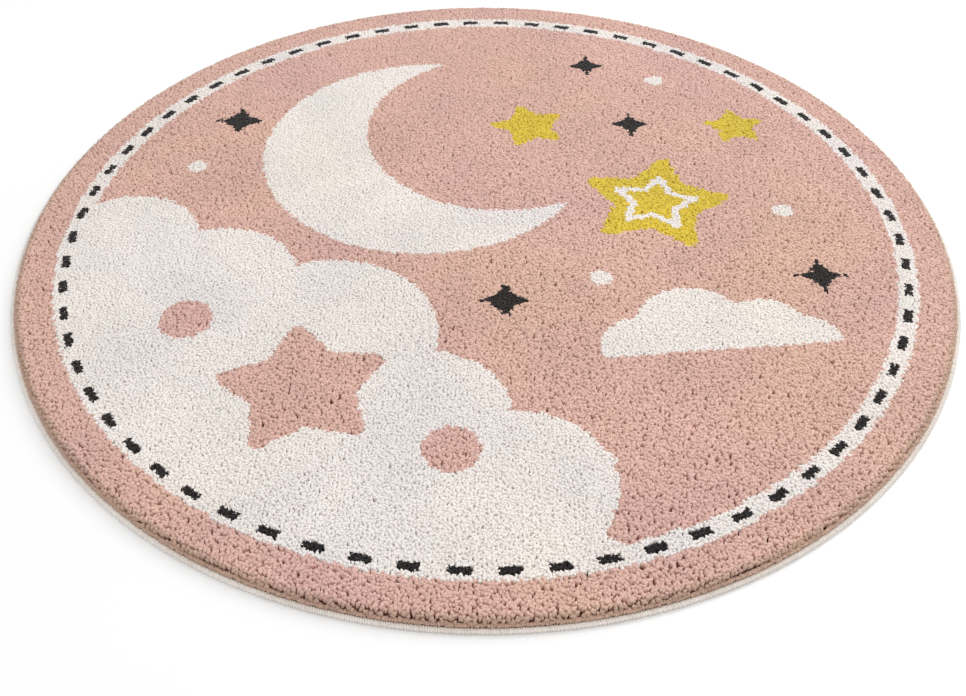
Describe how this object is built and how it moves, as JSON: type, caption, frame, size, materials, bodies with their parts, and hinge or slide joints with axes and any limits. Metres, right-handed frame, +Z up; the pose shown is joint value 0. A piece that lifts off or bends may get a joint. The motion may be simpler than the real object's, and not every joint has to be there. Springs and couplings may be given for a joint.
{
  "type": "round kids rug",
  "caption": "Round cut-pile rug for a child's room: rose pile with a dashed ivory ring, a night-sky motif and an overlocked ivory edge.",
  "frame": {"origin": "centre of the underside, on the floor", "axes": "+Z up through the pile; +X to the right and +Y away from someone who looks at the rug from its near side"},
  "size_m": [1, 1, 0.012],
  "materials": {
    "rose_pile": "soft cut pile in dusty rose, with slow patches of tan and pink, darker between the tufts",
    "ivory_pile": "soft cut pile in warm ivory, for the ring and the light motifs",
    "mustard_pile": "soft cut pile in mustard yellow, for the stars",
    "black_pile": "soft cut pile in near-black brown, for the dashes and fine strokes",
    "edge_yarn": "close whipped ivory yarn, dull",
    "ground_cloth": "plain-woven beige ground cloth, dull"
  },
  "bodies": {
    "root": {"pile_field": "rose_pile", "overlocked_edge": "edge_yarn"}
  },
  "joints": []
}
